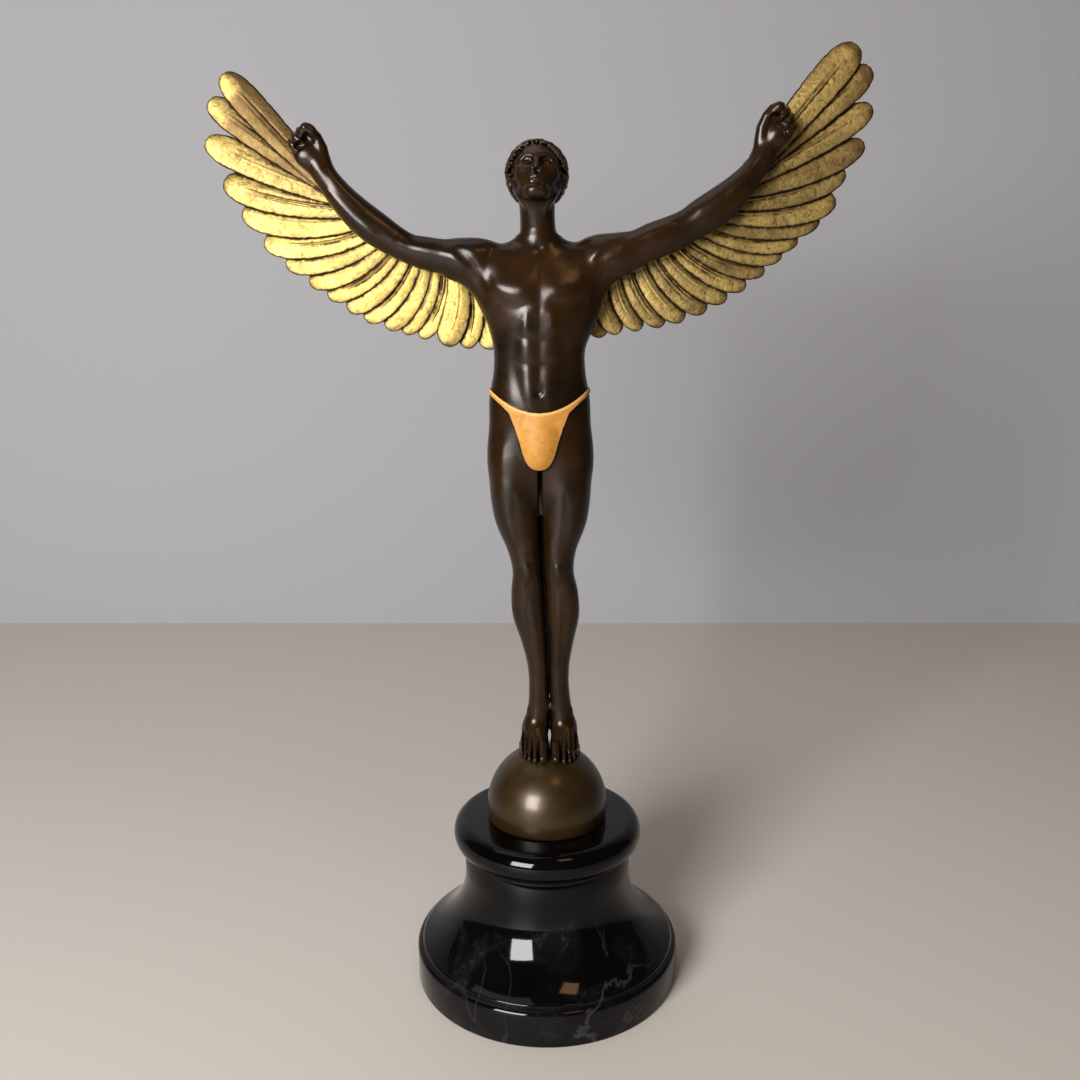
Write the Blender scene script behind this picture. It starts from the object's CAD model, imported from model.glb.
import bpy
import numpy as np
import openvdb
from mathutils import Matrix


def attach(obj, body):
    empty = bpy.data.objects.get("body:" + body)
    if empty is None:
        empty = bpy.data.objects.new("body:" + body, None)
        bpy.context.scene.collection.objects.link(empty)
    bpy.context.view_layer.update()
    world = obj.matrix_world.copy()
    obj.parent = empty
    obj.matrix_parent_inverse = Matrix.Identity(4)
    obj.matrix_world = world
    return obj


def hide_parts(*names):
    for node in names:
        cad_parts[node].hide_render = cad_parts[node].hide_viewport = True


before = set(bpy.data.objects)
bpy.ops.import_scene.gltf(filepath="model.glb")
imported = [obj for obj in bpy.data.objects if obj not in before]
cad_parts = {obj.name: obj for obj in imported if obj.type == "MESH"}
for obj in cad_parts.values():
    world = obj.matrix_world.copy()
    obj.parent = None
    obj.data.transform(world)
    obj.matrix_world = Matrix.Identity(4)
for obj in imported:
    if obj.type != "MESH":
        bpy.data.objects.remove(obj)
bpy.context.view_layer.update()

# Camera, floor and light: one camera at the height of the statue's ribs, looking down, a plain
# pale floor and wall, a soft window to the left, and a small warm lamp and an overhead light as fill

MM = 0.001
CAMERA_PLACE = (0, -0.5441, 0.3705)
CAMERA_PITCH = 12.12
LENS = 34.47
SENSOR = 36
PICTURE_WIDTH = 1080
AXIS_PIXELS = -7.2

camera_data = bpy.data.cameras.new("camera")
camera_data.lens = LENS
camera_data.sensor_width = SENSOR
camera_data.shift_x = AXIS_PIXELS / PICTURE_WIDTH
camera = bpy.data.objects.new("camera", camera_data)
camera.location = CAMERA_PLACE
camera.rotation_euler = (np.radians(90 - CAMERA_PITCH), 0, 0)
bpy.context.scene.collection.objects.link(camera)
bpy.context.scene.camera = camera
bpy.context.scene.view_settings.view_transform = "Standard"


def fresh_material(name, **values):
    """A new material, its nodes, its links and its main shader, with plain values on the sockets."""
    material = bpy.data.materials.new(name)
    material.use_nodes = True
    nodes = material.node_tree.nodes
    shader = nodes["Principled BSDF"]
    for socket, value in values.items():
        shader.inputs[socket.replace("_", " ")].default_value = value
    return material, nodes, material.node_tree.links, shader


def mesh_object(name, points, faces, material):
    """A new piece from points in millimetres and faces."""
    mesh = bpy.data.meshes.new(name)
    mesh.from_pydata((np.asarray(points) * MM).tolist(), [], faces)
    mesh.polygons.foreach_set("use_smooth", [True] * len(mesh.polygons))
    mesh.materials.append(material)
    piece = bpy.data.objects.new(name, mesh)
    bpy.context.scene.collection.objects.link(piece)
    return piece


FLOOR_HALF = 4000
FLOOR_COLOUR = (0.56, 0.52, 0.475, 1)
floor_material, *_ = fresh_material("pale floor", Base_Color=FLOOR_COLOUR, Roughness=0.6)
floor_corners = [(x * FLOOR_HALF, y * FLOOR_HALF, 0) for x, y in ((-1, -1), (1, -1), (1, 1), (-1, 1))]
mesh_object("floor", floor_corners, [(0, 1, 2, 3)], floor_material)
WALL_PLACE = 690
WALL_HALF = 1600
WALL_HEIGHT = 2200
WALL_FOOT = -1
WALL_COLOUR = (0.34, 0.34, 0.36, 1)
wall_material, *_ = fresh_material("pale wall", Base_Color=WALL_COLOUR, Roughness=0.9)
wall_corners = [(-WALL_HALF, WALL_PLACE, WALL_FOOT), (WALL_HALF, WALL_PLACE, WALL_FOOT)]
wall_corners += [(WALL_HALF, WALL_PLACE, WALL_HEIGHT), (-WALL_HALF, WALL_PLACE, WALL_HEIGHT)]
mesh_object("wall", wall_corners, [(0, 1, 2, 3)], wall_material)

STATUE_MIDDLE = (0, 0, 0.28)
# Name, place, width, height, watts and colour of each lamp, in metres
LAMPS = [
    ("window", (-0.74, -1.3, 0.66), 0.66, 0.68, 46, (1, 0.985, 0.97)),
    ("lamp", (0.34, -0.56, 1.25), 0.26, 0.26, 1.2, (1, 0.58, 0.25)),
    ("overhead", (-0.5, 0.3, 2.0), 1.4, 1.2, 5, (1, 1, 1)),
]
SKY_COLOUR = (0.86, 0.82, 0.8, 1)
SKY_STRENGTH = 0.07

for name, place, width, height, watts, colour in LAMPS:
    light = bpy.data.lights.new(name, "AREA")
    light.shape = "RECTANGLE"
    light.size = width
    light.size_y = height
    light.energy = watts
    light.color = colour
    lamp = bpy.data.objects.new(name, light)
    lamp.location = place
    direction = np.subtract(STATUE_MIDDLE, place)
    yaw = np.arctan2(direction[0], direction[1])
    tilt = np.arctan2(np.hypot(direction[0], direction[1]), -direction[2])
    lamp.rotation_euler = (tilt, 0, -yaw)
    bpy.context.scene.collection.objects.link(lamp)

world = bpy.data.worlds.new("studio")
world.use_nodes = True
world.node_tree.nodes["Background"].inputs["Color"].default_value = SKY_COLOUR
world.node_tree.nodes["Background"].inputs["Strength"].default_value = SKY_STRENGTH
bpy.context.scene.world = world

# Socle of black marble, turned on a lathe and polished to a mirror: foot band with a softened top
# edge, a sharp crease, a bell drawn in to a straight neck, and a rolled lip round the flat top

TURNED_SIDES = 144
FOOT_RADIUS = 75
FOOT_TOP = 20.2
FOOT_ROUND = 3
BELL_FOOT_RADIUS = 72.2
BELL_FOOT = 21.4
CREASE_DEPTH = 1.6
NECK_RADIUS = 46.8
BELL_TOP = 62
LIP_BOTTOM = 77.5
SOCLE_TOP = 94.5
LIP_RADIUS = 53
LIP_ROUND = 7
ARRIS = 0.8
BELL_FLAT = (60, 28)
BELL_UPRIGHT = 42
GROOVE_DEPTH = 0.9
GROOVE_HEIGHT = 2
ARC_STEPS = 9
BELL_STEPS = 30
LIP_STEPS = 25
LIP_START = -78


def turned(name, profile, material):
    """A lathe-turned piece from radii and heights that start and end on the axis."""
    turn = np.linspace(0, 2 * np.pi, TURNED_SIDES, endpoint=False)
    rings = profile[1:-1]
    points = [(0, 0, profile[0][1])]
    for radius, height in rings:
        points += [(radius * np.cos(a), radius * np.sin(a), height) for a in turn]
    points.append((0, 0, profile[-1][1]))
    last = len(points) - 1
    faces = []
    for s in range(TURNED_SIDES):
        t = (s + 1) % TURNED_SIDES
        faces.append((0, 1 + t, 1 + s))
        faces.append((last, last - TURNED_SIDES + s, last - TURNED_SIDES + t))
        for r in range(len(rings) - 1):
            low = 1 + r * TURNED_SIDES
            faces.append((low + s, low + t, low + t + TURNED_SIDES, low + s + TURNED_SIDES))
    return mesh_object(name, points, faces, material)


def bezier(a, b, c, d, steps):
    """Points on the curve from a to d that leaves towards b and comes in from c."""
    t = np.linspace(0, 1, steps)[:, None]
    a, b, c, d = (np.array(p, float) for p in (a, b, c, d))
    return a * (1 - t) ** 3 + 3 * b * t * (1 - t) ** 2 + 3 * c * t**2 * (1 - t) + d * t**3


def socle_profile():
    """Radii and heights of the socle from the middle of its underside to the middle of its top."""
    arc = np.radians(np.linspace(0, 90, ARC_STEPS))
    profile = [(0, 0), (FOOT_RADIUS - ARRIS, 0)]
    profile += [(FOOT_RADIUS - ARRIS * (1 - np.sin(a)), ARRIS * (1 - np.cos(a))) for a in arc[2::2]]
    for a in arc:
        inwards, downwards = FOOT_ROUND * (1 - np.cos(a)), FOOT_ROUND * (1 - np.sin(a))
        profile.append((FOOT_RADIUS - inwards, FOOT_TOP - downwards))
    crease = (FOOT_TOP + BELL_FOOT) / 2
    profile += [(BELL_FOOT_RADIUS + 0.2, FOOT_TOP - 0.02), (BELL_FOOT_RADIUS - CREASE_DEPTH, crease)]
    foot = (BELL_FOOT_RADIUS, BELL_FOOT)
    neck = (NECK_RADIUS, BELL_TOP)
    profile += list(bezier(foot, BELL_FLAT, (NECK_RADIUS, BELL_UPRIGHT), neck, BELL_STEPS))
    profile.append((NECK_RADIUS, LIP_BOTTOM - GROOVE_HEIGHT))
    profile.append((NECK_RADIUS - GROOVE_DEPTH, LIP_BOTTOM - 0.3 * GROOVE_HEIGHT))
    middle = (LIP_BOTTOM + SOCLE_TOP) / 2
    half = (SOCLE_TOP - LIP_BOTTOM) / 2
    for a in np.radians(np.linspace(LIP_START, 90, LIP_STEPS)):
        profile.append((LIP_RADIUS - LIP_ROUND + LIP_ROUND * np.cos(a), middle + half * np.sin(a)))
    profile.append((0, SOCLE_TOP))
    return profile


def noise(nodes, links, scale, detail=4.0, distortion=0.0, roughness=0.55):
    """Noise over the piece's own place in metres."""
    place = nodes.get("place") or nodes.new("ShaderNodeTexCoord")
    place.name = "place"
    texture = nodes.new("ShaderNodeTexNoise")
    texture.inputs["Scale"].default_value = scale
    texture.inputs["Detail"].default_value = detail
    texture.inputs["Distortion"].default_value = distortion
    texture.inputs["Roughness"].default_value = roughness
    links.new(place.outputs["Object"], texture.inputs["Vector"])
    return texture.outputs["Fac"]


def ramp(nodes, links, source, stops):
    """Colour ramp over a value: stops are pairs of place and colour or grey."""
    node = nodes.new("ShaderNodeValToRGB")
    bar = node.color_ramp.elements
    for i, (place, colour) in enumerate(stops):
        stop = bar[i] if i < 2 else bar.new(place)
        stop.position = place
        stop.color = (*colour, 1) if hasattr(colour, "__len__") else (colour, colour, colour, 1)
    links.new(source, node.inputs["Fac"])
    return node.outputs["Color"]


def mixed(nodes, links, share, first, second):
    """Two colours mixed by a share. Each is a plain colour or another node's colour."""
    node = nodes.new("ShaderNodeMix")
    node.data_type = "RGBA"
    links.new(share, node.inputs["Factor"])
    for socket, colour in (("A", first), ("B", second)):
        target = [s for s in node.inputs if s.name == socket and s.type == "RGBA"][0]
        if hasattr(colour, "links"):
            links.new(colour, target)
        else:
            target.default_value = (*colour, 1)
    return [s for s in node.outputs if s.type == "RGBA"][0]


def worked_out(nodes, links, operation, *sources, clamp=False):
    """A sum over some values. Each is a plain number or another node's value."""
    node = nodes.new("ShaderNodeMath")
    node.operation = operation
    node.use_clamp = clamp
    for socket, source in zip(node.inputs, sources):
        if hasattr(source, "links"):
            links.new(source, socket)
        else:
            socket.default_value = source
    return node.outputs[0]


def bumped(nodes, links, shader, height, strength, distance):
    """Fine texture from a height, over a distance in metres."""
    bump = nodes.new("ShaderNodeBump")
    bump.inputs["Strength"].default_value = strength
    bump.inputs["Distance"].default_value = distance
    links.new(height, bump.inputs["Height"])
    links.new(bump.outputs["Normal"], shader.inputs["Normal"])


BLACK_STONE = (0.0006, 0.0005, 0.0006)
SMOKY_STONE = (0.0022, 0.002, 0.0023)
SMOKE_GREY = (0.01, 0.0093, 0.0112)
VEIN_GREY = (0.085, 0.08, 0.086)
marble, nodes, links, shader = fresh_material("black marble", Specular_IOR_Level=0.22)
clouds = ramp(nodes, links, noise(nodes, links, 14, 5, 0.6), [(0.35, 0.0), (0.75, 1.0)])
vein_stops = [(0.0, 0.0), (0.485, 0.0), (0.5, 1.0), (0.515, 0.0)]
vein_lines = ramp(nodes, links, noise(nodes, links, 9, 7, 2.2, 0.5), vein_stops)
vein_places = ramp(nodes, links, noise(nodes, links, 6, 2), [(0.5, 0.0), (0.7, 0.35)])
smoke = ramp(nodes, links, noise(nodes, links, 34, 9, 0.5, 0.66), [(0.52, 0.0), (0.72, 0.6)])
hair_stops = [(0.0, 0.0), (0.492, 0.0), (0.5, 0.5), (0.508, 0.0)]
hair_veins = ramp(nodes, links, noise(nodes, links, 22, 9, 3.0, 0.6), hair_stops)
stone = mixed(nodes, links, clouds, BLACK_STONE, SMOKY_STONE)
stone = mixed(nodes, links, smoke, stone, SMOKE_GREY)
fine_veins = worked_out(nodes, links, "MULTIPLY", hair_veins, smoke)
stone = mixed(nodes, links, fine_veins, stone, VEIN_GREY)
bold_veins = worked_out(nodes, links, "MULTIPLY", vein_lines, vein_places)
stone = mixed(nodes, links, bold_veins, stone, VEIN_GREY)
links.new(stone, shader.inputs["Base Color"])
polish = ramp(nodes, links, noise(nodes, links, 60, 3), [(0.3, 0.045), (0.8, 0.09)])
links.new(polish, shader.inputs["Roughness"])
bumped(nodes, links, shader, noise(nodes, links, 900, 2), 0.02, 0.0001)

socle = turned("marble_socle", socle_profile(), marble)
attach(socle, "root")
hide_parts("marble_base")

# Ball of bronze, turned and polished smoother than the figure, with a thinner brown patina that
# lets warm metal through. Its underside is cut flat where it stands on the socle

BALL_RADIUS = 33.8
BALL_HEIGHT = 101.8
BALL_GAP = 0.3
BALL_SEAT = SOCLE_TOP + BALL_GAP
BALL_STEPS = 64
low = np.arcsin((BALL_SEAT - BALL_HEIGHT) / BALL_RADIUS)
ball_profile = [(0, BALL_SEAT)]
for turn in np.linspace(low, np.pi / 2, BALL_STEPS)[:-1]:
    ball_profile.append((BALL_RADIUS * np.cos(turn), BALL_HEIGHT + BALL_RADIUS * np.sin(turn)))
ball_profile.append((0, BALL_HEIGHT + BALL_RADIUS))

BALL_OLIVE = (0.02, 0.0115, 0.003)
BALL_WARM = (0.048, 0.024, 0.006)
ball_bronze, nodes, links, shader = fresh_material("ball bronze", Metallic=0.5, Coat_Weight=0.15)
shader.inputs["Coat Roughness"].default_value = 0.16
mottle = ramp(nodes, links, noise(nodes, links, 45, 5, 0.4), [(0.3, 0.0), (0.8, 1.0)])
links.new(mixed(nodes, links, mottle, BALL_OLIVE, BALL_WARM), shader.inputs["Base Color"])
satin = ramp(nodes, links, noise(nodes, links, 120, 4), [(0.3, 0.3), (0.8, 0.4)])
links.new(satin, shader.inputs["Roughness"])
bumped(nodes, links, shader, noise(nodes, links, 260, 3), 0.05, 0.0003)

ball = turned("bronze_globe", ball_profile, ball_bronze)
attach(ball, "root")
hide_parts("bronze_ball")

# The figure, cast in bronze in one piece, chased and patinated dark brown. Its skin is worked out
# as a field of distances: limbs and trunk run into one another, then muscles are raised and creases
# cut along strokes, the loincloth is laid on, and the field is turned into a mesh

# Trunk from crotch to neck and one leg from ankle to hip: middle across (on a leg, the middle line of
# the pair), middle fore and aft, height, half width, depth in front, depth behind
TRUNK = [
    (-3.5, 1.5, 270, 13, 6, 8),
    (-3.5, 1.5, 282, 21.5, 11, 15.5),
    (-3.5, 1, 292, 26.6, 13.5, 18.5),
    (-3.6, 1, 304, 28, 15.5, 19),
    (-3.8, 0.5, 317, 27.1, 16, 16.5),
    (-4, 0, 330, 26.6, 15.8, 14),
    (-4, 0, 343, 24.3, 15.4, 13.5),
    (-4, 0.5, 355, 24.2, 16.4, 14.5),
    (-3, 1, 367, 28.2, 17.6, 15.5),
    (-3.8, 1.5, 378, 32.6, 18.4, 16),
    (-4.6, 2, 388, 36.5, 16.8, 15),
    (-4, 3, 398, 32, 13.5, 13),
    (-4, 4, 405, 20.5, 10.5, 11),
    (-4.3, 4, 411, 11.5, 8.5, 9),
]
LEG = [
    (1.4, 8, 144, 7.5, 7.8, 8.8),
    (1.5, 7, 150.5, 6.8, 7.2, 8.4),
    (1.4, 6.5, 158, 6.1, 6.4, 7.7),
    (1, 5.5, 169, 5.7, 6.2, 7.4),
    (0.7, 4.5, 181, 5.8, 6.6, 8),
    (0.2, 3, 195, 7.1, 7.4, 10.2),
    (-0.7, 1.5, 211, 9.1, 8.6, 12.2),
    (-1.4, 0.5, 225, 9.1, 9.2, 11.6),
    (-2.2, -0.5, 237, 8.3, 10.2, 9.6),
    (-2.9, 0, 249, 9.4, 11.4, 10.6),
    (-3.3, 0.5, 264, 12.3, 13.4, 13),
    (-3.6, 1, 281, 13.5, 14.6, 15.6),
    (-3.6, 1, 297, 13.4, 13.5, 15),
    (-3.6, 1, 309, 12, 11.5, 14),
    (-3.6, 1, 322, 9, 8, 10),
]
TRUNK_SHARE = 0.985
LEG_SHARE = 0.965
LEGS_MEET = 1.03
TOUCH_FROM = 176
# Foot from heel to toe roots: out from the middle, fore and aft, height, half width, half height
FOOT = [
    (8.1, 24.5, 128, 2.6, 3.5),
    (8.1, 22, 131.5, 5.6, 6.5),
    (8.1, 15, 138.5, 6.6, 10.5),
    (8.2, 8, 141.5, 7.2, 11),
    (8.3, 1.5, 140.5, 7.5, 9.6),
    (8.4, -3.5, 138.2, 8, 7.2),
    (8, -8.5, 135.3, 7.4, 4.9),
    (7.4, -11, 133.8, 5.8, 3.6),
]
FEET_MIDDLE = 1.3
# Toes from the great toe outwards: out from the middle, reach forward, radius
TOES = [
    (3.6, -16.2, 2.9),
    (7.9, -15.8, 2.25),
    (11, -13.8, 2.05),
    (13.5, -10.6, 1.95),
    (15.4, -6.4, 1.85),
]
TOE_LENGTH = 9
# Arms from inside the shoulder to the wrist: middle, half height, half depth
RIGHT_ARM = [
    (-22, 3, 395, 10.5, 11),
    (-33, 1.5, 398, 12.4, 12),
    (-43, 0.5, 399, 11.8, 11.3),
    (-52, 0, 400.7, 9.3, 9.5),
    (-61, 0, 402.4, 8.7, 9),
    (-70, 0, 404.8, 7.8, 8.2),
    (-78, 0, 409, 8.1, 8),
    (-86.5, 0, 414.5, 8.9, 8.4),
    (-95, 0, 421.3, 8.5, 7.8),
    (-103, -0.5, 429.5, 7.3, 6.3),
    (-109.5, -1, 438, 6.3, 5.3),
    (-113.5, -1, 444, 6.4, 5.4),
    (-116, -0.5, 448, 6.2, 5.2),
]
LEFT_ARM = [
    (14.5, 3, 396, 10.5, 11),
    (25, 1.5, 399.5, 12.6, 12),
    (35, 0.5, 401.3, 12, 11.3),
    (45, 0, 404.8, 9.6, 9.5),
    (54, 0, 408.7, 9.6, 9.2),
    (63, 0, 412, 9.4, 8.6),
    (71, 0, 416, 8.8, 8.2),
    (79, 0, 420.8, 9.6, 8.5),
    (87, 0, 426.2, 9.4, 8),
    (95.4, -0.5, 433.6, 7.9, 6.8),
    (102.8, -1, 442.2, 6.2, 5.4),
    (106.8, -1, 448.2, 6.1, 5.4),
    (110, -0.5, 454.2, 5.9, 5.2),
]
ARM_SHARE = 0.955
NECK = [
    (-4, 4, 400, 16, 10, 11),
    (-4.2, 3.5, 408.5, 10.4, 9.4, 9.8),
    (-4.8, 2, 417, 8.9, 9.2, 9.4),
    (-5.2, 0, 430, 9.1, 9.6, 10),
]


def between(a, b, c, d, t):
    """The place between b and c, at a share t, on a smooth curve through a, b, c and d."""
    return b + 0.5 * t * ((c - a) + t * ((2 * a - 5 * b + 4 * c - d) + t * (3 * (b - c) + d - a)))


def smooth_rows(table, count):
    """The table's rows run through by one smooth curve, read at evenly spaced places."""
    rows = np.array(table, float)
    place = np.linspace(0, len(rows) - 1, count)
    k = np.minimum(place.astype(int), len(rows) - 2)
    t = (place - k)[:, None]
    return between(*(rows[np.clip(k + shift, 0, len(rows) - 1)] for shift in (-1, 0, 1, 2)), t)


def blended(d, e, k):
    """The nearer of two distances, run together softly over a width k."""
    h = np.clip(0.5 + 0.5 * (d - e) / k, 0, 1)
    return d * (1 - h) + e * h - k * h * (1 - h)


def egg(dx, dy, dz, a, b, c):
    """Distance to an egg of half sizes a, b, c, good near its skin."""
    near = np.sqrt((dx / a) ** 2 + (dy / b) ** 2 + (dz / c) ** 2) + 1e-6
    slope = np.sqrt((dx / a**2) ** 2 + (dy / b**2) ** 2 + (dz / c**2) ** 2) + 1e-6
    return near * (near - 1) / slope


def column(rows):
    """Distance to an upright form of oval section, from rows sorted by height."""
    rows = rows[np.argsort(rows[:, 2])]

    def distance(p):
        z = p[..., 2]
        cx, cy, half, fore, aft = (np.interp(z, rows[:, 2], rows[:, i]) for i in (0, 1, 3, 4, 5))
        dy = p[..., 1] - cy
        depth = np.where(dy < 0, fore, aft)
        d = egg(p[..., 0] - cx, dy, 0, half, depth, 1)
        return np.maximum(d, np.maximum(rows[0, 2] - z, z - rows[-1, 2]))

    return distance


NEAR = 10.0
FARTHEST = 1e9


def bent_rod(rows, squash=1.0):
    """Distance to a rod that bends through rows of place and radius, squashed fore and aft."""
    rows = np.asarray(rows, float)
    stretch = np.array([1, squash, 1])
    middles = rows[:, :3] * stretch

    def distance(p):
        p = p * stretch
        flat = p.reshape(-1, 3)
        first, last = flat.min(axis=0) - NEAR, flat.max(axis=0) + NEAR
        best = np.full(p.shape[:-1], FARTHEST)
        for a, b, ra, rb in zip(middles[:-1], middles[1:], rows[:-1, 3], rows[1:, 3]):
            thick = max(ra, rb)
            if np.any(np.maximum(a, b) + thick < first) or np.any(np.minimum(a, b) - thick > last):
                continue
            way = b - a
            off = p - a
            h = np.clip(off @ way / (way @ way), 0, 1)
            gap = off - h[..., None] * way
            best = np.minimum(best, np.sqrt(np.einsum("...i,...i", gap, gap)) - (ra + (rb - ra) * h))
        return best

    return distance


FAR = 9.0
REACH = 7.0
figure_forms = []


def add_form(low, high, shape, k, cut=False, reach=REACH):
    """One more form of the figure, run into the others over k, or cut out of them."""

    def apply(d, p):
        return -blended(-d, shape(p), k) if cut else blended(d, shape(p), k)

    figure_forms.append((np.array(low, float) - reach, np.array(high, float) + reach, apply))


def add_rod(rows, k, squash=1.0):
    """A bent rod from rows of place and radius, run into the others over k."""
    rows = np.asarray(rows, float)
    low = (rows[:, :3] - rows[:, 3:4]).min(axis=0)
    high = (rows[:, :3] + rows[:, 3:4]).max(axis=0)
    add_form(low, high, bent_rod(rows, squash), k)


def add_egg(place, sizes, k, cut=False, turn=0.0, about="y"):
    """An egg shape, turned about an axis across (x) or fore and aft (y)."""
    place = np.array(place, float)
    c, s = np.cos(turn), np.sin(turn)
    first, second = (0, 2) if about == "y" else (1, 2)

    def distance(p):
        off = p - place
        moved = [off[..., 0], off[..., 1], off[..., 2]]
        u, v = off[..., first], off[..., second]
        moved[first] = c * u - s * v
        moved[second] = s * u + c * v
        return egg(*moved, *sizes)

    add_form(place - max(sizes), place + max(sizes), distance, k, cut)


SOFT_END = 1.5
STROKE_REACH = 2.4


def add_stroke(rise, wide, way):
    """A soft ridge, or a crease where the rise is negative, along a way of points near the skin."""
    way = np.asarray(way, float)
    if len(way) > 2:
        way = smooth_rows(way, 3 * len(way))
    length = np.linalg.norm(way[-1] - way[0])
    ends = SOFT_END * min(1, length / (6 * wide)) * np.linspace(-1, 1, len(way)) ** 4
    reach = STROKE_REACH * wide
    distance = bent_rod(np.column_stack([way, -wide * ends]))

    def apply(d, p):
        return d - rise * np.exp(-((distance(p) / wide) ** 2))

    figure_forms.append((way.min(axis=0) - reach, way.max(axis=0) + reach, apply))


def nearest(shapes, k):
    """Several forms as one, run together over k."""

    def distance(p):
        d = shapes[0](p)
        for shape in shapes[1:]:
            d = blended(d, shape(p), k)
        return d

    return distance


# Legs, trunk, feet and toes. The legs only touch, so the line between them stays crisp
leg_rows = {}
for side in (-1, 1):
    rows = smooth_rows(LEG, 70)
    half = rows[:, 3].copy()
    rows[:, 0] += side * half
    rows[:, 3] = half * LEG_SHARE * np.where(rows[:, 2] > TOUCH_FROM, LEGS_MEET, 1)
    leg_rows[side] = rows
LEGS_BOX = ((-33, -17, 143), (26, 19, 323))
add_form(*LEGS_BOX, nearest([column(leg_rows[-1]), column(leg_rows[1])], 0.7), 1)
trunk_rows = smooth_rows(TRUNK, 70)
trunk_rows[:, 3] *= TRUNK_SHARE
TRUNK_BOX = ((-45, -22, 268), (38, 24, 412))
add_form(*TRUNK_BOX, column(trunk_rows), 5)

SLIT_MIDDLE = -3.7
SLIT_FRONT = -7
SLIT_BACK = 9
SLIT_LOW = 262
SLIT_HIGH = 293
SLIT_HALF = 0.2
SLIT_FLARE = 0.16
SLIT_BOX = ((-8, -20, SLIT_LOW), (1, 22, SLIT_HIGH))


def thigh_slit(p):
    """The line between the thighs, up to the loincloth: narrow inside, wider towards the skin."""
    y, z = p[..., 1], p[..., 2]
    across = np.abs(p[..., 0] - SLIT_MIDDLE) - SLIT_HALF
    front = np.maximum(across - SLIT_FLARE * np.maximum(0, SLIT_FRONT - y), y - SLIT_FRONT)
    back = np.maximum(across - SLIT_FLARE * np.maximum(0, y - SLIT_BACK), SLIT_BACK - y)
    return np.maximum(np.minimum(front, back), np.maximum(z - SLIT_HIGH, SLIT_LOW - z))


add_form(*SLIT_BOX, thigh_slit, 1.6, cut=True, reach=3)


def foot_form(side):
    """Distance to the left or right foot, without its toes."""
    rows = smooth_rows(FOOT, 24)[::-1]

    def distance(p):
        y = p[..., 1]
        out, z, half, tall = (np.interp(y, rows[:, 1], rows[:, i]) for i in (0, 2, 3, 4))
        d = egg(p[..., 0] - FEET_MIDDLE - side * out, 0, p[..., 2] - z, half, 1, tall)
        return np.maximum(d, np.maximum(rows[0, 1] - y, y - rows[-1, 1]))

    return distance


def ball_height(x, y):
    """Height of the ball's skin, that the toes lie on."""
    return BALL_HEIGHT + np.sqrt(BALL_RADIUS**2 - x**2 - y**2)


FEET_BOX = ((-17, -14, 124), (20, 27, 153))
add_form(*FEET_BOX, nearest([foot_form(-1), foot_form(1)], 0.5), 3)
# Share of the way from a toe's root to its tip, and its thickness there
TOE_SHARES = [(0, 1.0), (0.45, 0.9), (0.72, 1.0), (0.9, 0.9)]
TOE_SINK = 0.9
TOE_ARCH = 1.4
toes = []
for side in (-1, 1):
    for out, tip, radius in TOES:
        x = FEET_MIDDLE + side * out
        rows = []
        for t, share in TOE_SHARES:
            y = tip + TOE_LENGTH * (1 - t)
            rows.append((x, y, ball_height(x, y) + radius * TOE_SINK + TOE_ARCH * (1 - t), radius * share))
        toes.append(bent_rod(rows))
TOES_BOX = ((-18, -18, 122), (20, -2, 145))
add_form(*TOES_BOX, nearest(toes, 0.5), 1.6)
# Furrows between the toes: out from the middle and front end
TOE_GAPS = [(6.1, -13.4), (9.55, -12), (12.3, -9.6), (14.5, -6.2)]
GAP_DEEP = 1.5
GAP_WIDE = 0.5
GAP_LONG = 9


def part_toes(d, p):
    """A furrow between each toe and the next, running out on to the foot's top."""
    for side in (-1, 1):
        for out, front in TOE_GAPS:
            across = (p[..., 0] - FEET_MIDDLE - side * out) / GAP_WIDE
            run = np.clip((front + GAP_LONG - p[..., 1]) / GAP_LONG * 1.6, 0, 1)
            d = d + GAP_DEEP * np.exp(-(across**2)) * run
    return d


GAPS_BOX = ((-17.0, -20, 124), (20.0, 4, 146))
figure_forms.append((*np.array(GAPS_BOX), part_toes))
for table in (RIGHT_ARM, LEFT_ARM):
    rows = smooth_rows(table, 110)
    squash = float(np.mean(rows[:, 3] / rows[:, 4]))
    rows = np.column_stack([rows[:, :3], rows[:, 3] * ARM_SHARE])
    add_rod(rows, 7, squash)
NECK_BOX = ((-18, -9, 400), (8, 15, 430))
add_form(*NECK_BOX, column(smooth_rows(NECK, 30)), 4)

# The field is asked for its value in rooms, so that only the forms near a room are worked out there
ROOM = 16


def skin_distance(points, half):
    """Distance to the figure's skin for blocks of points, each block within half of its middle."""
    middles = points.mean(axis=1)
    d = np.full(points.shape[:2], FAR)
    room = np.floor(middles / ROOM).astype(int)
    order = np.lexsort(room.T)
    breaks = np.any(np.diff(room[order], axis=0), axis=1).nonzero()[0] + 1
    for group in np.split(order, breaks):
        places = middles[group]
        first, last = places.min(axis=0) - half, places.max(axis=0) + half
        for low, high, apply in figure_forms:
            if np.all(low < last) and np.all(high > first):
                near = group[np.all((places > low - half) & (places < high + half), axis=1)]
                if len(near):
                    d[near] = apply(d[near], points[near])
    return d


SOUNDINGS = np.linspace(-30, 34, 129)


def on_skin(x, z, back=False):
    """Place on the skin straight in front of, or behind, a place across and up."""
    y = SOUNDINGS
    line = np.column_stack([np.full(len(y), x), y, np.full(len(y), z)])
    d = skin_distance(line[:, None, :], 0.5)[:, 0]
    inside = (d < 0).nonzero()[0]
    if not len(inside):
        return (x, 0, z)
    first, second = (inside[-1] + 1, inside[-1]) if back else (inside[0] - 1, inside[0])
    share = d[first] / (d[first] - d[second])
    return (x, y[first] + share * (y[second] - y[first]), z)


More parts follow.
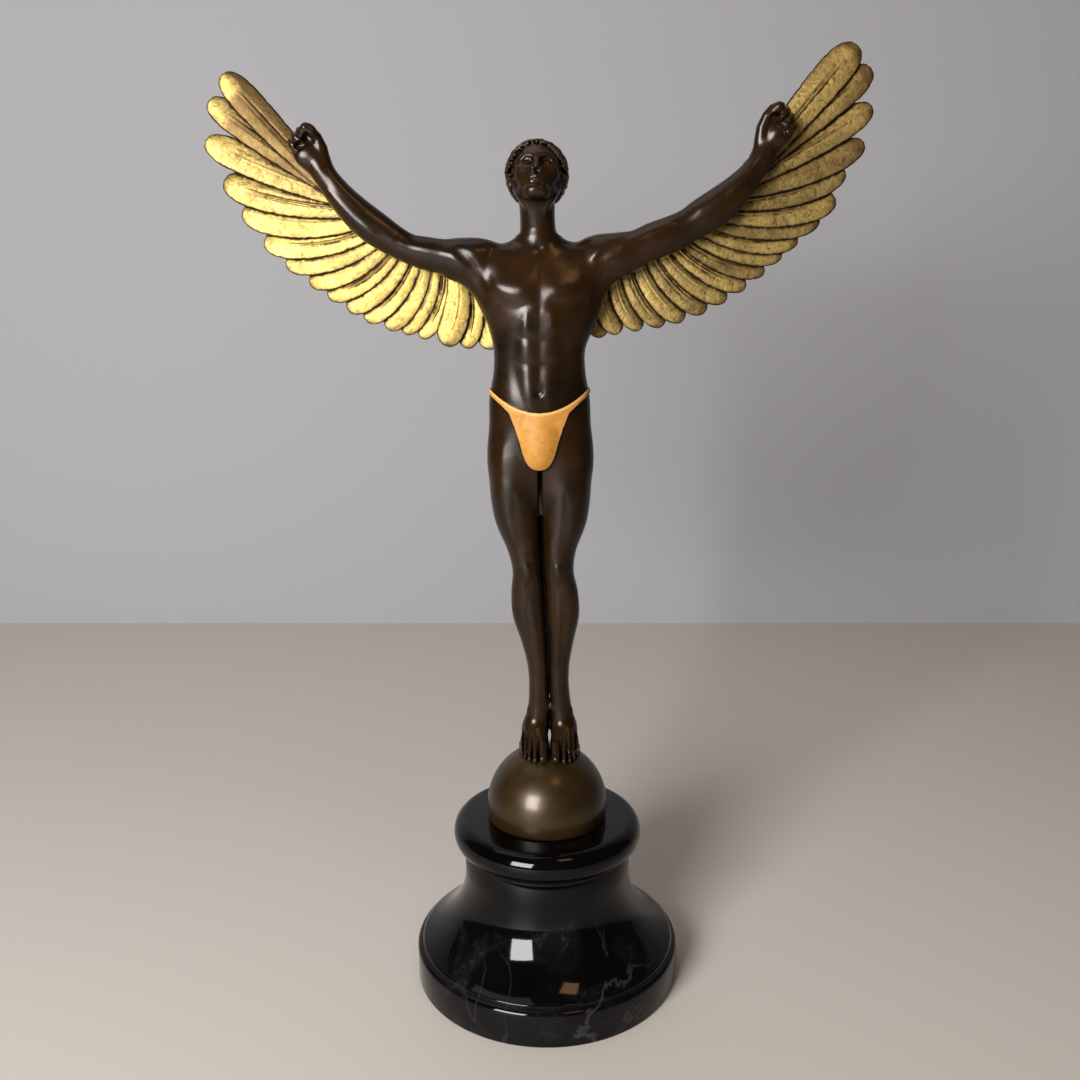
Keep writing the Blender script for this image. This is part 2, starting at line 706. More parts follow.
# Muscles of the trunk, as strokes at a distance across from the middle line and a height
TRUNK_MIDDLE = -4


def trunk_stroke(rise, wide, way, back=False, both=True):
    """A stroke on the trunk and, where both is true, its like on the other side."""
    for side in (-1, 1) if both else (1,):
        add_stroke(rise, wide, [on_skin(TRUNK_MIDDLE + side * u, z, back) for u, z in way])


# Rise, width and way of each stroke: a rise below nought is a crease
FRONT_STROKES = [
    (1.3, 8, [(9, 386), (19, 388), (25, 393)]),
    (0.7, 5, [(8, 384), (15, 383), (22, 386)]),
    (-0.5, 3.6, [(3, 378), (10, 376), (18, 377.5), (25, 384)]),
    (-0.3, 3.6, [(10.5, 366), (12.5, 352), (11.5, 340), (8, 326)]),
    (0.85, 4.2, [(6, 374), (6.6, 362), (6.4, 349), (5.6, 336), (4.4, 326)]),
    (0.5, 3.4, [(6.5, 372), (7, 366)]),
    (-0.42, 2.3, [(2, 360.2), (6, 360.4), (10, 361.6)]),
    (-0.36, 2.3, [(2, 347.4), (6, 347.6), (10, 348.4)]),
    (0.5, 6, [(19, 352), (20, 338)]),
    (0.5, 3, [(3.5, 403), (12, 404.3), (21, 404)]),
    (-0.5, 3, [(9, 407.5), (18, 407.5)]),
    (-0.3, 2.4, [(25, 370), (18.5, 364.5)]),
    (-0.3, 2.4, [(24, 362), (18, 356.5)]),
]
for rise, wide, way in FRONT_STROKES:
    trunk_stroke(rise, wide, way)
trunk_stroke(-0.7, 3.2, [(0, 372), (0, 384), (0, 398)], both=False)
trunk_stroke(-0.3, 2, [(0, 376), (0, 352), (0, 338)], both=False)
trunk_stroke(-1.9, 1.35, [(-0.6, 332.6), (0.2, 333.4)], both=False)
trunk_stroke(-0.9, 2.4, [(0, 404), (0, 402.5)], both=False)

# Shoulders and arms as they show from the front: the groove between shoulder and chest, the fold of
# the armpit, the edges of the shoulder muscle and the long ridges of upper arm and forearm
ARM_STROKES = [
    (-0.8, 3.4, [(-27.5, 405), (-30, 395), (-28.5, 386)]),
    (0.7, 3, [(-45, 406.5), (-39.8, 405), (-34.4, 402)]),
    (-0.7, 2.6, [(-45, 402), (-40.4, 399), (-35.6, 394)]),
    (0.6, 3.2, [(-84, 411), (-72.3, 406.9), (-60.6, 404.4), (-49, 401.7), (-41, 396)]),
    (-0.7, 2.4, [(-37, 392.5), (-33.2, 386), (-31, 378)]),
    (1.1, 3.4, [(-110, 433.5), (-103, 426), (-97, 419.5), (-91, 414.5), (-84, 409.5)]),
    (0.6, 3, [(-108, 440), (-99, 431), (-90, 423)]),
    (-0.4, 2.6, [(-76, 412), (-75, 405)]),
    (-0.5, 4, [(20, 407), (19.3, 396), (21.5, 386)]),
    (0.6, 3, [(22.5, 399.5), (26.2, 403), (31, 405), (36, 405.5)]),
    (-0.8, 2.6, [(25, 399), (30, 403.5), (35.5, 406)]),
    (1.0, 2.6, [(36, 404.6), (45, 409), (53.6, 412.8), (64, 417)]),
    (-0.4, 3, [(38, 397.5), (48.4, 402), (60, 406.5)]),
    (0.6, 4, [(76, 424), (86, 429.5)]),
    (0.7, 2.2, [(88, 429), (96, 437), (102, 444), (107.5, 452)]),
    (-0.5, 1.8, [(92, 427), (100, 436), (108, 447)]),
    (-0.7, 2, [(29, 393), (25, 386), (23, 378)]),
]
for rise, wide, way in ARM_STROKES:
    add_stroke(rise, wide, [on_skin(x, z) for x, z in way])
BACK_STROKES = [
    (1.2, 4, [(9, 380), (12, 390), (20, 396)]),
    (-0.8, 2.4, [(7, 392), (8, 374), (14, 362)]),
    (0.9, 4, [(6, 360), (6, 340), (5, 325)]),
    (-1.1, 2.6, [(3.5, 287), (10, 286.5), (17, 289.5)]),
    (2.2, 8, [(11, 303), (13, 298)]),
    (-0.7, 2.2, [(8, 318), (8.4, 317)]),
]
for rise, wide, way in BACK_STROKES:
    trunk_stroke(rise, wide, way, back=True)
trunk_stroke(-1.3, 2.4, [(0, 395), (0, 360), (0, 318)], back=True, both=False)
trunk_stroke(-3, 2.2, [(0, 314), (0, 300), (0, 286), (0, 276)], back=True, both=False)


def on_leg(side, share, z, back=False):
    """Place on a leg's skin, at a share of the way from its middle outwards."""
    rows = leg_rows[side]
    order = np.argsort(rows[:, 2])
    middle, half = (np.interp(z, rows[order, 2], rows[order, i]) for i in (0, 3))
    return on_skin(middle + side * share * half, z, back)


# Muscles of the legs: rise, width and way
LEG_FRONT = [
    (0.6, 4.6, [(0.55, 308), (0.55, 290), (0.48, 270), (0.36, 252)]),
    (-0.35, 2.4, [(0.0, 282), (0.05, 266), (0.1, 248)]),
    (0.9, 3, [(-0.5, 256), (-0.45, 246)]),
    (0.9, 3, [(-0.05, 240), (-0.05, 236)]),
    (-0.6, 2, [(-0.05, 231), (-0.05, 229.5)]),
    (0.5, 1.6, [(-0.2, 226), (-0.25, 205), (-0.25, 180)]),
    (-0.35, 1.6, [(0.2, 222), (0.1, 200), (0.05, 182)]),
    (0.8, 2, [(0.95, 155), (0.95, 154)]),
    (0.7, 2, [(-0.95, 158), (-0.95, 157)]),
]
LEG_BACK = [
    (-0.8, 2.4, [(-0.5, 242), (0.5, 242)]),
    (1.1, 4, [(-0.45, 216), (-0.4, 205)]),
    (0.9, 4, [(0.45, 218), (0.4, 208)]),
    (-0.6, 1.8, [(0, 220), (0, 200)]),
    (0.6, 1.6, [(0, 185), (0, 160)]),
    (-0.5, 2.4, [(0, 285), (0, 255)]),
]
for side in (-1, 1):
    for strokes, back in ((LEG_FRONT, False), (LEG_BACK, True)):
        for rise, wide, way in strokes:
            add_stroke(rise, wide, [on_leg(side, share, z, back) for share, z in way])

# Hands, closed with the palm to the front. A hand is its wrist, lean, thumb side and finger tops,
# with places across it towards the thumb, along it to the knuckles, and behind the palm
HANDS = [
    ((-118.4, -1, 451.2), -0.5, 1, [(4.8, 12.0), (1.4, 11.6), (-2, 10.6), (-5.3, 8.8)]),
    ((112.8, -1, 461), 0.48, -1, [(3.4, 12.4), (-0.1, 11.8), (-3.6, 10.2), (-6.8, 7.6)]),
]
FINGER_THICK = 2.15
FINGER_BACK = 1.6
# A finger from its root to its tip: drift across, along, behind, share of its thickness
FINGER_BENDS = [
    (0, -6, 2.6, 0.95),
    (0, -0.8, 2.2, 1),
    (0, 0, -1.4, 1.06),
    (0.5, -1.6, -4.4, 1),
    (1.5, -4.6, -5.2, 0.86),
]
THUMB = [
    (2.6, -12, 0, 2.2),
    (4.6, -7.5, -0.6, 2.7),
    (6.6, -2, -1.4, 2.8),
    (7.2, 3.6, -2.2, 2.5),
    (6.6, 7.4, -4.0, 2.2),
    (4.6, 9.4, -5.6, 1.9),
]
HAND_REACH = 14


def add_hand(wrist, lean, thumb_side, finger_tops):
    """Palm, ball of the thumb, four bent fingers, thumb, and the hollows inside the closed hand."""
    c, s = np.cos(lean), np.sin(lean)

    def spot(across, along, behind):
        a = across * thumb_side
        return (wrist[0] + a * c + along * s, wrist[1] + behind, wrist[2] - a * s + along * c)

    add_egg(spot(-0.4, 0.6, 0.8), (7.8, 4.8, 9.6), 3, turn=lean)
    add_egg(spot(-2.2, -1.2, -2.6), (5.4, 3.0, 5.6), 1.6, turn=lean)
    fingers = []
    for across, top in finger_tops:
        rows = []
        for drift, along, behind, share in FINGER_BENDS:
            rows.append((*spot(across + drift, top + along - FINGER_BACK, behind), FINGER_THICK * share))
        fingers.append(bent_rod(rows))
    middle = np.array(spot(0, 5, 0))
    add_form(middle - HAND_REACH, middle + HAND_REACH, nearest(fingers, 0.2), 0.6, reach=2)
    add_rod([(*spot(across, along, behind), thick) for across, along, behind, thick in THUMB], 2.6)
    add_egg(spot(3.4, 4.4, -5.4), (2.4, 2.4, 2.8), 1.2, cut=True, turn=lean)
    add_egg(spot(-1.2, 3.4, -6.2), (3.4, 2.0, 1.8), 1, cut=True, turn=lean)


for hand in HANDS:
    add_hand(*hand)

# Head, thrown back: places are across, forwards and up from its middle, before it is tipped back.
# The face is a plain calm one on the proportions of the drawing books
HEAD_MIDDLE = np.array((-5.2, 2.5, 438.4))
HEAD_TIP = np.radians(33)


def head(across, forwards, up):
    """Place in the statue for a place in the head."""
    c, s = np.cos(HEAD_TIP), np.sin(HEAD_TIP)
    y, z = -forwards, up
    return HEAD_MIDDLE + (across, y * c + z * s, -y * s + z * c)


def head_egg(place, sizes, k, cut=False):
    """An egg shape that is tipped back with the head."""
    add_egg(head(*place), sizes, k, cut, turn=HEAD_TIP, about="x")


def head_rod(k, *rows):
    """A bent rod from rows of place in the head and radius."""
    add_rod([(*head(*row[:3]), row[3]) for row in rows], k)


def head_stroke(rise, wide, *way):
    """A ridge or crease along places in the head."""
    add_stroke(rise, wide, [head(*place) for place in way])


head_egg((0, -1.2, 4.0), (14.3, 16.0, 14.9), 2)
head_egg((0, 3.6, -3.4), (10.0, 11.2, 13.8), 3)
head_egg((0, 9.6, -14.6), (4.6, 4.0, 3.4), 2.4)
for side in (-1, 1):
    head_rod(3, (side * 10.4, 1.5, -4, 2.2), (side * 8.6, 2.4, -10.4, 2.3), (side * 3, 9.6, -14.8, 2.4))
    head_egg((side * 7.0, 8.9, -2.8), (3.4, 3.2, 2.4), 3)
    head_rod(2.4, (side * 8.8, 9.8, 2.4, 1.2), (side * 4.6, 12.8, 4.0, 1.3), (side * 1.2, 13.4, 3.2, 1.2))
    head_egg((side * 4.7, 14.2, -0.2), (3.4, 2.4, 2.3), 1.6, cut=True)
    head_egg((side * 4.8, 10.6, -0.3), (3.0, 2.6, 2.2), 0.3)
    upper_lid = [(side * 2.2, 12.9, -0.3), (side * 3.6, 13.6, 1.1), (side * 5.4, 13.4, 1.2)]
    head_stroke(0.4, 0.55, *upper_lid, (side * 7.4, 11.8, -0.2))
    head_stroke(0.3, 0.6, (side * 2.4, 12.8, -0.7), (side * 4.6, 13.0, -1.9), (side * 7.2, 11.7, -0.6))
    head_stroke(-0.4, 0.5, (side * 2.6, 13.2, 1.6), (side * 5, 13.4, 2.4), (side * 7.4, 11.8, 1.2))
head_rod(1.6, (0, 12.6, 3.2, 1.2), (0, 14.7, -0.6, 1.0), (0, 16.7, -4.4, 1.25), (0, 17.0, -5.5, 1.35))
for side in (-1, 1):
    head_egg((side * 1.9, 14.7, -5.8), (1.15, 1.7, 1.15), 0.9)
    head_egg((side * 1.05, 15.5, -7.0), (0.55, 0.9, 0.6), 0.3, cut=True)
head_egg((0, 11.6, -9.9), (4.2, 2.6, 3.2), 2.6)
upper_lip = [(-3.4, 12.4, -9.9, 0.4), (-1.1, 14.0, -9.2, 0.85), (0, 14.2, -9.5, 0.8)]
upper_lip += [(1.1, 14.0, -9.2, 0.85), (3.4, 12.4, -9.9, 0.4)]
head_rod(0.9, *upper_lip)
lower_lip = [(-2.9, 12.4, -10.7, 0.45), (-0.9, 13.7, -11.2, 1.0), (0.9, 13.7, -11.2, 1.0)]
head_rod(0.9, *lower_lip, (2.9, 12.4, -10.7, 0.45))
lips_meet = [(-3.6, 12.6, -10.2), (-1.6, 14.3, -10.3), (0, 14.9, -10.4), (1.6, 14.3, -10.3)]
head_stroke(-0.6, 0.45, *lips_meet, (3.6, 12.6, -10.2))
head_stroke(-0.45, 1.5, (-2.0, 13.0, -13.0), (0, 13.4, -12.9), (2.0, 13.0, -13.0))
head_stroke(-0.3, 0.6, (0, 14.6, -7.6), (0, 14.6, -8.6))
for side in (-1, 1):
    head_egg((side * 13.2, 0.2, -1.6), (1.8, 2.8, 4.4), 0.6)
    head_egg((side * 14.9, 0.6, -0.9), (0.9, 1.4, 2.4), 0.5, cut=True)
    head_stroke(1.1, 2.2, (side * 9.2, 3.5, -12.4), (side * 5.6, 1, -19), (side * 2.6, -1, -27))

# Hair, short and close: tufts laid over the crown and the back of the head in no strict order
HAIR_TUFTS = 900
TUFT_HALF = (14.9, 16.5, 15.4)
TUFT_MIDDLE = (0, -1.2, 4.0)
GOLDEN_TURN = np.pi * (3 - np.sqrt(5))
NAPE_EDGE = -9.5
# Along a tuft, lift from the head, radius
TUFT_ROWS = [(-0.9, -0.2, 0.75), (0.2, 0.2, 0.7), (1.3, 0.3, 0.55), (2.2, 0.0, 0.25)]
TUFT_RISE = 0.7
SCATTER = (12.9898, 43758.5453)


def hair_edge(across, forwards):
    """Lowest height of the hair: over the brow, and down behind the ears to the nape."""
    edge = 12.6 - 0.06 * across**2 if forwards > 4 else -1.5 - 0.55 * (4 - forwards)
    return max(edge, NAPE_EDGE)


tufts = []
for i in range(HAIR_TUFTS):
    up = 1 - 2 * (i + 0.5) / HAIR_TUFTS
    ring = np.sqrt(1 - up * up)
    turn = i * GOLDEN_TURN
    unit = np.array((ring * np.cos(turn), ring * np.sin(turn), up))
    place = unit * TUFT_HALF + TUFT_MIDDLE
    if place[2] < hair_edge(place[0], place[1]):
        continue
    wander = np.sin(i * SCATTER[0]) * SCATTER[1] % 1
    flow_across = unit[0] * 0.8 + 0.5 * np.sin(wander * 12)
    flow_up = -unit[2] * 0.7 + 0.4 * np.cos(wander * 9)
    flow = np.array((flow_across, -0.5 - 0.5 * unit[1], flow_up))
    flow -= unit * (flow @ unit)
    flow /= np.linalg.norm(flow) + 1e-6
    aside = np.cross(unit, flow)
    rows = []
    for t, lift, radius in TUFT_ROWS:
        bend = 1.2 * np.sin(wander * 6.28) * t * t / 4
        spot = place + flow * t + aside * bend + unit * (lift + TUFT_RISE * wander)
        rows.append((*head(*spot), radius))
    tufts.append(np.array(rows))
for rows in tufts:
    low, high = rows[:, :3].min(axis=0) - 2, rows[:, :3].max(axis=0) + 2
    add_form(low, high, bent_rod(rows), 0.3, reach=0)

# Loincloth, modelled in the casting: a narrow band low over the hips and a panel that hangs from it,
# the same behind, raised from the skin with a crisp edge
CLOTH_RISE = 0.8
CLOTH_MIDDLE = -4.2
BAND_SPAN = 36
BAND_END = 346
BAND_WIDE = 3.0
BAND_LOW = 300
BAND_STEPS = 25
# The panel's edge from hip to hem: out from the cloth's middle, height
CLOTH_CORNERS = [
    (30, 336.1),
    (24, 330.3),
    (19, 326.2),
    (15.4, 322.8),
    (12.2, 314.5),
    (9.9, 307.5),
    (8.4, 302),
    (7.2, 298.6),
    (5.5, 295.8),
    (3.3, 294),
    (1.2, 293.3),
]


def band_height(across):
    """Height of the band's top edge, at a distance across from the cloth's middle."""
    t = (across + BAND_SPAN) / (2 * BAND_SPAN)
    return BAND_END * ((1 - t) ** 2 + t**2) + BAND_LOW * 2 * t * (1 - t)


def cloth_outline():
    """The loincloth's outline from the front, once round."""
    band_x = np.linspace(-BAND_SPAN, BAND_SPAN, BAND_STEPS)
    band_z = band_height(band_x)
    right = [(BAND_SPAN, BAND_END - BAND_WIDE), *CLOTH_CORNERS]
    left = [(-x, z) for x, z in right[::-1]]
    return np.array([*zip(band_x, band_z), *right, *left])


CLOTH = cloth_outline()
NEARLY_NOUGHT = 1e-12


def outline_distance(x, z, outline):
    """Distance across and up to a closed outline: below nought inside."""
    best = np.full(x.shape, FARTHEST)
    inside = np.zeros(x.shape, bool)
    for (ax, az), (bx, bz) in zip(outline, np.roll(outline, -1, axis=0)):
        wx, wz = bx - ax, bz - az
        span = max(wx * wx + wz * wz, NEARLY_NOUGHT)
        h = np.clip(((x - ax) * wx + (z - az) * wz) / span, 0, 1)
        best = np.minimum(best, np.hypot(x - ax - h * wx, z - az - h * wz))
        if az != bz:
            inside ^= ((az > z) != (bz > z)) & (x < ax + wx * (z - az) / wz)
    return np.where(inside, -best, best)


def cloth_distance(p):
    """Distance to the loincloth's outline seen from the front: below nought inside."""
    return outline_distance(p[..., 0] - CLOTH_MIDDLE, p[..., 2], CLOTH)


add_egg((CLOTH_MIDDLE, -13.4, 307.5), (7.8, 5.6, 12), 4)
EDGE_SLOPE = 0.8
CLOTH_BOX = ((-42.0, -26, 286), (34.0, 26, 350))


def lay_cloth(d, p):
    """The cloth as a raised layer of the skin inside its outline."""
    return np.minimum(d, np.maximum(d - CLOTH_RISE, cloth_distance(p) * EDGE_SLOPE))


figure_forms.append((*np.array(CLOTH_BOX), lay_cloth))

# The soles are cut to the ball, with a hair's gap
SOLE_GAP = 0.12
SOLES_BOX = ((-34, -34, 126), (34, 34, 146))


def ball_room(p):
    """Distance to the ball and the gap round it."""
    out = np.sqrt(p[..., 0] ** 2 + p[..., 1] ** 2 + (p[..., 2] - BALL_HEIGHT) ** 2)
    return out - BALL_RADIUS - SOLE_GAP


add_form(*SOLES_BOX, ball_room, 0.1, cut=True)

# The field is read on a fine grid near the skin only and turned into a mesh, thinned where it is
# flat, and drawn back on to the skin
PITCH = 2.0
FINE = 4
LOW_CORNER = np.array((-136.0, -28, 118))
CELLS = (136, 30, 184)
TRIANGLES = 190000
SKIN_BAND = 3.0
FINE_REACH = 1.8
BATCH = 8000


def figure_mesh():
    """Points and triangles of the figure's skin, on the fine grid."""
    steps = np.stack(np.meshgrid(*(np.arange(n) for n in CELLS), indexing="ij"), axis=-1).reshape(-1, 3)
    middles = LOW_CORNER + (steps + 0.5) * PITCH
    coarse = skin_distance(middles[:, None, :], PITCH)[:, 0]
    step = PITCH / FINE
    offsets = np.stack(np.meshgrid(*(np.arange(FINE),) * 3, indexing="ij"), axis=-1)
    offsets = ((offsets + 0.5) * step - PITCH / 2).reshape(-1, 3)
    fine = np.repeat(np.sign(coarse)[:, None] * SKIN_BAND, FINE**3, axis=1).astype(np.float32)
    active = (np.abs(coarse) < SKIN_BAND).nonzero()[0]
    for start in range(0, len(active), BATCH):
        part = active[start : start + BATCH]
        d = skin_distance(middles[part, None, :] + offsets, FINE_REACH)
        fine[part] = np.clip(d, -SKIN_BAND, SKIN_BAND)
    volume = fine.reshape(*CELLS, FINE, FINE, FINE).transpose(0, 3, 1, 4, 2, 5)
    volume = np.ascontiguousarray(volume.reshape(*(n * FINE for n in CELLS)))
    grid = openvdb.FloatGrid(background=SKIN_BAND)
    grid.copyFromArray(volume)
    points, triangles, quads = grid.convertToPolygons(isovalue=0.0, adaptivity=0.0)
    points = LOW_CORNER + (points + 0.5) * step
    faces = np.concatenate([triangles, quads[:, [0, 1, 2]], quads[:, [0, 2, 3]]])
    return points, faces


CRISP_STEP = 0.12
BROAD_STEP = 0.9
SETTLING_TURNS = 2
SETTLING_MOST = 0.3
LEAST_STEEP = 0.5


def skin_normals(points, step=CRISP_STEP):
    """Which way the skin faces at each point, and how steeply the field rises there."""
    slopes = []
    for axis in range(3):
        shift = np.zeros(3)
        shift[axis] = step
        pair = np.stack([points + shift, points - shift], axis=1)
        d = skin_distance(pair, 0.5)
        slopes.append((d[:, 0] - d[:, 1]) / (2 * step))
    slope = np.stack(slopes, axis=1)
    size = np.linalg.norm(slope, axis=1, keepdims=True) + 1e-9
    return slope / size, size[:, 0]


def thinned(points, faces, triangles):
    """The mesh with fewer triangles, kept close where it curves."""
    draft = bpy.data.meshes.new("draft")
    draft.from_pydata(points.tolist(), [], faces.tolist())
    carrier = bpy.data.objects.new("draft", draft)
    bpy.context.scene.collection.objects.link(carrier)
    modifier = carrier.modifiers.new("thin", "DECIMATE")
    modifier.ratio = min(1, triangles / len(faces))
    modifier.use_collapse_triangulate = True
    graph = bpy.context.evaluated_depsgraph_get()
    thin = bpy.data.meshes.new_from_object(carrier.evaluated_get(graph))
    bpy.data.objects.remove(carrier)
    bpy.data.meshes.remove(draft)
    points = np.empty(len(thin.vertices) * 3)
    thin.vertices.foreach_get("co", points)
    corners = np.empty(len(thin.loops), int)
    thin.loops.foreach_get("vertex_index", corners)
    bpy.data.meshes.remove(thin)
    return points.reshape(-1, 3), corners.reshape(-1, 3)


points, faces = figure_mesh()
points, triangles = thinned(points, faces, TRIANGLES)
for _ in range(SETTLING_TURNS):
    normals, steepness = skin_normals(points)
    d = skin_distance(points[:, None, :], 0.5)[:, 0]
    move = np.clip(d / np.maximum(steepness, LEAST_STEEP), -SETTLING_MOST, SETTLING_MOST)
    points -= normals * move[:, None]
normals, _ = skin_normals(points)

# Face, hair, hands, feet and the cloth's edge keep their crisp shading, and the rest is smoothed
broad, _ = skin_normals(points, BROAD_STEP)
FEET_TOP = 150
WRISTS = 106
THROAT = 416
HEAD_HALF = 22
HEAD_ACROSS = -5
CLOTH_NEAR = 2
head_near = (points[:, 2] > THROAT) & (np.abs(points[:, 0] - HEAD_ACROSS) < HEAD_HALF)
crisp = (points[:, 2] < FEET_TOP) | (np.abs(points[:, 0]) > WRISTS) | head_near
crisp |= np.abs(cloth_distance(points)) < CLOTH_NEAR
normals = np.where(crisp[:, None], normals, broad)
corner_a, corner_b, corner_c = (points[triangles[:, i]] for i in range(3))
facing = np.cross(corner_b - corner_a, corner_c - corner_a)
if np.einsum("ij,ij", facing, normals[triangles[:, 0]]) < 0:
    triangles = triangles[:, ::-1]

BRONZE_DARK = (0.0085, 0.004, 0.0012)
BRONZE_RED = (0.024, 0.0095, 0.0022)
BRONZE_OLIVE = (0.012, 0.008, 0.002)
BRONZE_WORN = (0.038, 0.021, 0.008)
CLOTH_GOLD = (0.43, 0.2, 0.036)
CLOTH_DEEP = (0.32, 0.13, 0.021)
CLOTH_RIM = (0.58, 0.33, 0.1)
BRONZE_HOLLOW = (0.003, 0.0018, 0.001)


def attribute(nodes, name):
    """A value kept on the mesh's points."""
    node = nodes.new("ShaderNodeAttribute")
    node.attribute_name = name
    return node.outputs["Fac"]


bronze, nodes, links, shader = fresh_material("figure bronze")
red = ramp(nodes, links, noise(nodes, links, 40, 5, 0.5), [(0.35, 0.0), (0.7, 1.0)])
olive = ramp(nodes, links, noise(nodes, links, 75, 5, 0.8), [(0.5, 0.0), (0.75, 0.8)])
patina = mixed(nodes, links, red, BRONZE_DARK, BRONZE_RED)
patina = mixed(nodes, links, olive, patina, BRONZE_OLIVE)
worn = ramp(nodes, links, attribute(nodes, "ridge"), [(0.1, 0.45), (0.8, 0.0)])
patina = mixed(nodes, links, worn, patina, BRONZE_WORN)
cavity = ramp(nodes, links, attribute(nodes, "cavity"), [(0.3, 1.0), (0.9, 0.0)])
patina = mixed(nodes, links, cavity, patina, BRONZE_HOLLOW)
paint = ramp(nodes, links, attribute(nodes, "cloth"), [(0.495, 1.0), (0.505, 0.0)])
brushed = ramp(nodes, links, noise(nodes, links, 170, 5, 1.2), [(0.45, 0.0), (0.7, 0.9)])
gold = mixed(nodes, links, brushed, CLOTH_GOLD, CLOTH_DEEP)
hem = ramp(nodes, links, attribute(nodes, "hem"), [(0.2, 1.0), (0.45, 0.0)])
gold = mixed(nodes, links, hem, gold, CLOTH_RIM)
links.new(mixed(nodes, links, paint, patina, gold), shader.inputs["Base Color"])
shader.inputs["Specular IOR Level"].default_value = 0.31
metal = ramp(nodes, links, attribute(nodes, "cloth"), [(0.495, 0.0), (0.505, 0.2)])
links.new(metal, shader.inputs["Metallic"])
satin = ramp(nodes, links, noise(nodes, links, 110, 5), [(0.3, 0.22), (0.8, 0.32)])
paint_satin = ramp(nodes, links, attribute(nodes, "cloth"), [(0.495, 0.55), (0.505, 0.0)])
roughness = worked_out(nodes, links, "MAXIMUM", satin, paint_satin)
links.new(roughness, shader.inputs["Roughness"])
bumped(nodes, links, shader, noise(nodes, links, 420, 4), 0.08, 0.0003)

figure = mesh_object("icarus", points, triangles.tolist(), bronze)
mesh = figure.data
mesh.normals_split_custom_set_from_vertices(normals.tolist())
# Distance to the cloth's edge and to its hem, and how open or how thin the form is round a point
PROBE = 2
marks = {
    "cloth": np.clip(0.5 + 0.05 * cloth_distance(points), 0, 1),
    "hem": np.clip((band_height(points[:, 0] - CLOTH_MIDDLE) - points[:, 2]) / 4, 0, 1),
    "cavity": np.clip(skin_distance((points + PROBE * normals)[:, None, :], 0.5)[:, 0] / PROBE, 0, 1),
    "ridge": np.clip(-skin_distance((points - PROBE * normals)[:, None, :], 0.5)[:, 0] / PROBE, 0, 1),
}
for name, value in marks.items():
    mesh.attributes.new(name, "FLOAT", "POINT").data.foreach_set("value", value.astype(np.float32))
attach(figure, "root")
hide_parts("icarus_figure")

# Wings of gilt bronze, each cast in one and fixed behind an arm: a thick edge and eighteen long
# feathers, every one lying over the next inner one, some with a chased quill, with dark patina left
# in the hollows

FEATHERS = 18
FEATHER_WIDE = 8.3
FEATHER_NARROW = 6.2
FEATHER_ROLL = np.radians(9)
FEATHER_BULGE = 1.0
EDGE_RADIUS = 3.2
# One feather of the right wing stands forward of its neighbours
LIFTED = 14
LIFTED_WIDE = 7.4
LIFTED_ROLL = np.radians(2)
LIFTED_RISE = 1.3
WING_DEPTH = 9.5
TIP_BACK = 5
ROOT_SHARE = 0.62
ROUND_FROM = 0.74
ROUND_POWERS = (2.4, 0.45)
BOW = 2
BOW_TURN = 5.5
TUCKED = 4
WIDTH_WANDER = 0.09
NICK = 0.035
SWELL = 0.12
FRONT_THICK = 0.32
BACK_THICK = 0.35
BACK_BULGE = 0.5
# Extra brown on the first feathers of the right wing, on its leading edge, and at every tip
TOP_BROWN = (0.85, 0.72, 0.62, 0.3)
LEADING_BROWN = 1.0
TIP_BROWN = 0.42
ROWS_ALONG = 84
ROWS_ACROSS = 27
QUILL_RISE = 0.45
QUILL_WIDE = 0.42
QUILL_SIDE = 1.0
FURROW_DEEP = 0.42
FURROW_WIDE = 0.34
SECOND_LINE = 0.45
SECOND_DEEP = 0.3
SECOND_WIDE = 0.3
SECOND_FAINT = 0.35
FAR_FROM_QUILL = 3.0
BARB_CLOSE = 4.2
BARB_SLANT = 1.3
# Feather number, across and height of its tip or its root, for some feathers
WINGS = {
    "right_wing": {
        "side": -1,
        "tuck": (9.5, 0, -5),
        "tips": [
            (0, -164, 490.5),
            (1, -171.5, 478),
            (2, -174.2, 459),
            (3, -166, 439.5),
            (5, -147, 409.5),
            (7, -124.5, 389),
            (10, -96, 370),
            (12, -76, 363),
            (13, -67, 360.5),
            (14, -54.5, 356.5),
            (15, -43.5, 355),
            (16, -32.5, 354.5),
            (17, -25, 357),
        ],
        "roots": [
            (0, -121.5, 442),
            (2, -106, 432),
            (5, -89, 416),
            (8, -76, 408),
            (12, -59, 401),
            (15, -43, 394),
            (17, -31, 382),
        ],
    },
    "left_wing": {
        "side": 1,
        "tuck": (-6, 0, -4.5),
        "tips": [
            (0, 155.6, 504.2),
            (1, 163, 493.5),
            (2, 164.5, 475.5),
            (3, 161.5, 458),
            (4, 152.5, 444.5),
            (5, 148.5, 430.5),
            (7, 130, 411),
            (10, 104, 386.8),
            (13, 72, 369.8),
            (17, 31, 362),
        ],
        "roots": [
            (0, 113, 452.5),
            (2, 99.5, 439.5),
            (5, 84, 425),
            (8, 71, 416),
            (12, 52, 408),
            (15, 36, 399),
            (17, 24, 388),
        ],
    },
}


def knotted(table, number):
    """Place for a feather's number, on a smooth curve through the table."""
    rows = np.array(table, float)
    k = int(np.clip(np.searchsorted(rows[:, 0], number, side="right") - 1, 0, len(rows) - 2))
    t = (number - rows[k, 0]) / (rows[k + 1, 0] - rows[k, 0])
    return between(*(rows[np.clip(k + shift, 0, len(rows) - 1), 1:] for shift in (-1, 0, 1, 2)), t)


def smooth_step(x, low, high):
    """Nought below low and one above high, softly between."""
    t = np.clip((x - low) / (high - low), 0, 1)
    return t * t * (3 - 2 * t)


